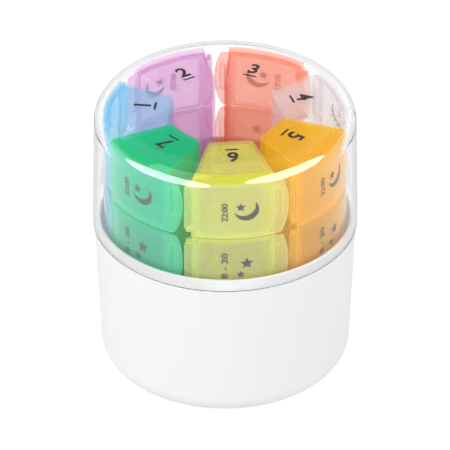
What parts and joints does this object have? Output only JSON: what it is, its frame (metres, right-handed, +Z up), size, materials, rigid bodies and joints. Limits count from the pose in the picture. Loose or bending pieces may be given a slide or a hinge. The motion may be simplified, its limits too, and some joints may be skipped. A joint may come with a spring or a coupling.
{
  "type": "weekly pill organizer",
  "caption": "Round weekly pill organizer: a ring of wedge-shaped day towers with hinged dose lids, standing in a white cup under a clear cover.",
  "frame": {"origin": "centre of the cup's underside, on the surface it stands on", "axes": "+Z up along the cup's axis, -Y towards the viewer of the picture, +X to their right"},
  "size_m": [0.12, 0.12, 0.1321],
  "materials": {
    "white_plastic": "opaque white, smooth semi-gloss",
    "clear_plastic": "clear colourless, polished",
    "saturday_lime": "translucent tinted, smooth gloss",
    "friday_orange": "translucent tinted, smooth gloss",
    "thursday_clear": "translucent tinted, smooth gloss",
    "wednesday_coral": "translucent tinted, smooth gloss",
    "tuesday_lilac": "translucent tinted, smooth gloss",
    "monday_blue": "translucent tinted, smooth gloss",
    "sunday_green": "translucent tinted, smooth gloss"
  },
  "bodies": {
    "base_cup": {"base_cup": "white_plastic", "tower_tray": "white_plastic"},
    "clear_cover": {"clear_cover": "clear_plastic"},
    "saturday_tower": {"saturday_tower": "saturday_lime"},
    "saturday_morning_lid": {"saturday_morning_lid": "saturday_lime"},
    "saturday_noon_lid": {"saturday_noon_lid": "saturday_lime"},
    "saturday_evening_lid": {"saturday_evening_lid": "saturday_lime"},
    "saturday_night_lid": {"saturday_night_lid": "saturday_lime"},
    "friday_tower": {"friday_tower": "friday_orange"},
    "friday_morning_lid": {"friday_morning_lid": "friday_orange"},
    "friday_noon_lid": {"friday_noon_lid": "friday_orange"},
    "friday_evening_lid": {"friday_evening_lid": "friday_orange"},
    "friday_night_lid": {"friday_night_lid": "friday_orange"},
    "thursday_tower": {"thursday_tower": "thursday_clear"},
    "thursday_morning_lid": {"thursday_morning_lid": "thursday_clear"},
    "thursday_noon_lid": {"thursday_noon_lid": "thursday_clear"},
    "thursday_evening_lid": {"thursday_evening_lid": "thursday_clear"},
    "thursday_night_lid": {"thursday_night_lid": "thursday_clear"},
    "wednesday_tower": {"wednesday_tower": "wednesday_coral"},
    "wednesday_morning_lid": {"wednesday_morning_lid": "wednesday_coral"},
    "wednesday_noon_lid": {"wednesday_noon_lid": "wednesday_coral"},
    "wednesday_evening_lid": {"wednesday_evening_lid": "wednesday_coral"},
    "wednesday_night_lid": {"wednesday_night_lid": "wednesday_coral"},
    "tuesday_tower": {"tuesday_tower": "tuesday_lilac"},
    "tuesday_morning_lid": {"tuesday_morning_lid": "tuesday_lilac"},
    "tuesday_noon_lid": {"tuesday_noon_lid": "tuesday_lilac"},
    "tuesday_evening_lid": {"tuesday_evening_lid": "tuesday_lilac"},
    "tuesday_night_lid": {"tuesday_night_lid": "tuesday_lilac"},
    "monday_tower": {"monday_tower": "monday_blue"},
    "monday_morning_lid": {"monday_morning_lid": "monday_blue"},
    "monday_noon_lid": {"monday_noon_lid": "monday_blue"},
    "monday_evening_lid": {"monday_evening_lid": "monday_blue"},
    "monday_night_lid": {"monday_night_lid": "monday_blue"},
    "sunday_tower": {"sunday_tower": "sunday_green"},
    "sunday_morning_lid": {"sunday_morning_lid": "sunday_green"},
    "sunday_noon_lid": {"sunday_noon_lid": "sunday_green"},
    "sunday_evening_lid": {"sunday_evening_lid": "sunday_green"},
    "sunday_night_lid": {"sunday_night_lid": "sunday_green"}
  },
  "joints": [
    {"name": "cover_lift", "type": "slide", "parent": "base_cup", "child": "clear_cover", "axis": [0, 0, 1], "range_m": [0, 0.3]},
    {"name": "saturday_lift", "type": "slide", "parent": "base_cup", "child": "saturday_tower", "axis": [0, 0, 1], "range_m": [0, 0.15]},
    {"name": "saturday_morning_hinge", "type": "hinge", "parent": "saturday_tower", "child": "saturday_morning_lid", "pos_m": [-0.01617, -0.05089, 0.0212], "axis": [0, 0, -1], "range_deg": [0, 110]},
    {"name": "saturday_noon_hinge", "type": "hinge", "parent": "saturday_tower", "child": "saturday_noon_lid", "pos_m": [-0.01617, -0.05089, 0.0507], "axis": [0, 0, -1], "range_deg": [0, 110]},
    {"name": "saturday_evening_hinge", "type": "hinge", "parent": "saturday_tower", "child": "saturday_evening_lid", "pos_m": [-0.01617, -0.05089, 0.0802], "axis": [0, 0, -1], "range_deg": [0, 110]},
    {"name": "saturday_night_hinge", "type": "hinge", "parent": "saturday_tower", "child": "saturday_night_lid", "pos_m": [-0.01617, -0.05089, 0.1097], "axis": [0, 0, -1], "range_deg": [0, 110]},
    {"name": "friday_lift", "type": "slide", "parent": "base_cup", "child": "friday_tower", "axis": [0, 0, 1], "range_m": [0, 0.15]},
    {"name": "friday_morning_hinge", "type": "hinge", "parent": "friday_tower", "child": "friday_morning_lid", "pos_m": [0.02971, -0.04437, 0.0212], "axis": [0, 0, -1], "range_deg": [0, 110]},
    {"name": "friday_noon_hinge", "type": "hinge", "parent": "friday_tower", "child": "friday_noon_lid", "pos_m": [0.02971, -0.04437, 0.0507], "axis": [0, 0, -1], "range_deg": [0, 110]},
    {"name": "friday_evening_hinge", "type": "hinge", "parent": "friday_tower", "child": "friday_evening_lid", "pos_m": [0.02971, -0.04437, 0.0802], "axis": [0, 0, -1], "range_deg": [0, 110]},
    {"name": "friday_night_hinge", "type": "hinge", "parent": "friday_tower", "child": "friday_night_lid", "pos_m": [0.02971, -0.04437, 0.1097], "axis": [0, 0, -1], "range_deg": [0, 110]},
    {"name": "thursday_lift", "type": "slide", "parent": "base_cup", "child": "thursday_tower", "axis": [0, 0, 1], "range_m": [0, 0.15]},
    {"name": "thursday_morning_hinge", "type": "hinge", "parent": "thursday_tower", "child": "thursday_morning_lid", "pos_m": [0.05322, -0.00444, 0.0212], "axis": [0, 0, -1], "range_deg": [0, 110]},
    {"name": "thursday_noon_hinge", "type": "hinge", "parent": "thursday_tower", "child": "thursday_noon_lid", "pos_m": [0.05322, -0.00444, 0.0507], "axis": [0, 0, -1], "range_deg": [0, 110]},
    {"name": "thursday_evening_hinge", "type": "hinge", "parent": "thursday_tower", "child": "thursday_evening_lid", "pos_m": [0.05322, -0.00444, 0.0802], "axis": [0, 0, -1], "range_deg": [0, 110]},
    {"name": "thursday_night_hinge", "type": "hinge", "parent": "thursday_tower", "child": "thursday_night_lid", "pos_m": [0.05322, -0.00444, 0.1097], "axis": [0, 0, -1], "range_deg": [0, 110]},
    {"name": "wednesday_lift", "type": "slide", "parent": "base_cup", "child": "wednesday_tower", "axis": [0, 0, 1], "range_m": [0, 0.15]},
    {"name": "wednesday_morning_hinge", "type": "hinge", "parent": "wednesday_tower", "child": "wednesday_morning_lid", "pos_m": [0.03665, 0.03884, 0.0212], "axis": [0, 0, -1], "range_deg": [0, 110]},
    {"name": "wednesday_noon_hinge", "type": "hinge", "parent": "wednesday_tower", "child": "wednesday_noon_lid", "pos_m": [0.03665, 0.03884, 0.0507], "axis": [0, 0, -1], "range_deg": [0, 110]},
    {"name": "wednesday_evening_hinge", "type": "hinge", "parent": "wednesday_tower", "child": "wednesday_evening_lid", "pos_m": [0.03665, 0.03884, 0.0802], "axis": [0, 0, -1], "range_deg": [0, 110]},
    {"name": "wednesday_night_hinge", "type": "hinge", "parent": "wednesday_tower", "child": "wednesday_night_lid", "pos_m": [0.03665, 0.03884, 0.1097], "axis": [0, 0, -1], "range_deg": [0, 110]},
    {"name": "tuesday_lift", "type": "slide", "parent": "base_cup", "child": "tuesday_tower", "axis": [0, 0, 1], "range_m": [0, 0.15]},
    {"name": "tuesday_morning_hinge", "type": "hinge", "parent": "tuesday_tower", "child": "tuesday_morning_lid", "pos_m": [-0.00751, 0.05287, 0.0212], "axis": [0, 0, -1], "range_deg": [0, 110]},
    {"name": "tuesday_noon_hinge", "type": "hinge", "parent": "tuesday_tower", "child": "tuesday_noon_lid", "pos_m": [-0.00751, 0.05287, 0.0507], "axis": [0, 0, -1], "range_deg": [0, 110]},
    {"name": "tuesday_evening_hinge", "type": "hinge", "parent": "tuesday_tower", "child": "tuesday_evening_lid", "pos_m": [-0.00751, 0.05287, 0.0802], "axis": [0, 0, -1], "range_deg": [0, 110]},
    {"name": "tuesday_night_hinge", "type": "hinge", "parent": "tuesday_tower", "child": "tuesday_night_lid", "pos_m": [-0.00751, 0.05287, 0.1097], "axis": [0, 0, -1], "range_deg": [0, 110]},
    {"name": "monday_lift", "type": "slide", "parent": "base_cup", "child": "monday_tower", "axis": [0, 0, 1], "range_m": [0, 0.15]},
    {"name": "monday_morning_hinge", "type": "hinge", "parent": "monday_tower", "child": "monday_morning_lid", "pos_m": [-0.04602, 0.02709, 0.0212], "axis": [0, 0, -1], "range_deg": [0, 110]},
    {"name": "monday_noon_hinge", "type": "hinge", "parent": "monday_tower", "child": "monday_noon_lid", "pos_m": [-0.04602, 0.02709, 0.0507], "axis": [0, 0, -1], "range_deg": [0, 110]},
    {"name": "monday_evening_hinge", "type": "hinge", "parent": "monday_tower", "child": "monday_evening_lid", "pos_m": [-0.04602, 0.02709, 0.0802], "axis": [0, 0, -1], "range_deg": [0, 110]},
    {"name": "monday_night_hinge", "type": "hinge", "parent": "monday_tower", "child": "monday_night_lid", "pos_m": [-0.04602, 0.02709, 0.1097], "axis": [0, 0, -1], "range_deg": [0, 110]},
    {"name": "sunday_lift", "type": "slide", "parent": "base_cup", "child": "sunday_tower", "axis": [0, 0, 1], "range_m": [0, 0.15]},
    {"name": "sunday_morning_hinge", "type": "hinge", "parent": "sunday_tower", "child": "sunday_morning_lid", "pos_m": [-0.04987, -0.01909, 0.0212], "axis": [0, 0, -1], "range_deg": [0, 110]},
    {"name": "sunday_noon_hinge", "type": "hinge", "parent": "sunday_tower", "child": "sunday_noon_lid", "pos_m": [-0.04987, -0.01909, 0.0507], "axis": [0, 0, -1], "range_deg": [0, 110]},
    {"name": "sunday_evening_hinge", "type": "hinge", "parent": "sunday_tower", "child": "sunday_evening_lid", "pos_m": [-0.04987, -0.01909, 0.0802], "axis": [0, 0, -1], "range_deg": [0, 110]},
    {"name": "sunday_night_hinge", "type": "hinge", "parent": "sunday_tower", "child": "sunday_night_lid", "pos_m": [-0.04987, -0.01909, 0.1097], "axis": [0, 0, -1], "range_deg": [0, 110]}
  ],
  "couplings": [
    {"joint": "saturday_lift", "follows": "cover_lift", "ratio": 0.5},
    {"joint": "saturday_morning_hinge", "follows": "cover_lift", "rad_per_m": 0.24435},
    {"joint": "saturday_noon_hinge", "follows": "cover_lift", "rad_per_m": 0.43633},
    {"joint": "saturday_evening_hinge", "follows": "cover_lift", "rad_per_m": 1.5708},
    {"joint": "saturday_night_hinge", "follows": "cover_lift", "rad_per_m": 0.69813},
    {"joint": "friday_lift", "follows": "cover_lift", "ratio": 0.5},
    {"joint": "friday_morning_hinge", "follows": "cover_lift", "rad_per_m": 0.24435},
    {"joint": "friday_noon_hinge", "follows": "cover_lift", "rad_per_m": 0.43633},
    {"joint": "friday_evening_hinge", "follows": "cover_lift", "rad_per_m": 1.5708},
    {"joint": "friday_night_hinge", "follows": "cover_lift", "rad_per_m": 0.69813},
    {"joint": "thursday_lift", "follows": "cover_lift", "ratio": 0.5},
    {"joint": "thursday_morning_hinge", "follows": "cover_lift", "rad_per_m": 0.24435},
    {"joint": "thursday_noon_hinge", "follows": "cover_lift", "rad_per_m": 0.43633},
    {"joint": "thursday_evening_hinge", "follows": "cover_lift", "rad_per_m": 1.5708},
    {"joint": "thursday_night_hinge", "follows": "cover_lift", "rad_per_m": 0.69813},
    {"joint": "wednesday_lift", "follows": "cover_lift", "ratio": 0.5},
    {"joint": "wednesday_morning_hinge", "follows": "cover_lift", "rad_per_m": 0.24435},
    {"joint": "wednesday_noon_hinge", "follows": "cover_lift", "rad_per_m": 0.43633},
    {"joint": "wednesday_evening_hinge", "follows": "cover_lift", "rad_per_m": 1.5708},
    {"joint": "wednesday_night_hinge", "follows": "cover_lift", "rad_per_m": 0.69813},
    {"joint": "tuesday_lift", "follows": "cover_lift", "ratio": 0.5},
    {"joint": "tuesday_morning_hinge", "follows": "cover_lift", "rad_per_m": 0.24435},
    {"joint": "tuesday_noon_hinge", "follows": "cover_lift", "rad_per_m": 0.43633},
    {"joint": "tuesday_evening_hinge", "follows": "cover_lift", "rad_per_m": 1.5708},
    {"joint": "tuesday_night_hinge", "follows": "cover_lift", "rad_per_m": 0.69813},
    {"joint": "monday_lift", "follows": "cover_lift", "ratio": 0.5},
    {"joint": "monday_morning_hinge", "follows": "cover_lift", "rad_per_m": 0.24435},
    {"joint": "monday_noon_hinge", "follows": "cover_lift", "rad_per_m": 0.43633},
    {"joint": "monday_evening_hinge", "follows": "cover_lift", "rad_per_m": 1.5708},
    {"joint": "monday_night_hinge", "follows": "cover_lift", "rad_per_m": 0.69813},
    {"joint": "sunday_lift", "follows": "cover_lift", "ratio": 0.5},
    {"joint": "sunday_morning_hinge", "follows": "cover_lift", "rad_per_m": 0.24435},
    {"joint": "sunday_noon_hinge", "follows": "cover_lift", "rad_per_m": 0.43633},
    {"joint": "sunday_evening_hinge", "follows": "cover_lift", "rad_per_m": 1.5708},
    {"joint": "sunday_night_hinge", "follows": "cover_lift", "rad_per_m": 0.69813}
  ]
}
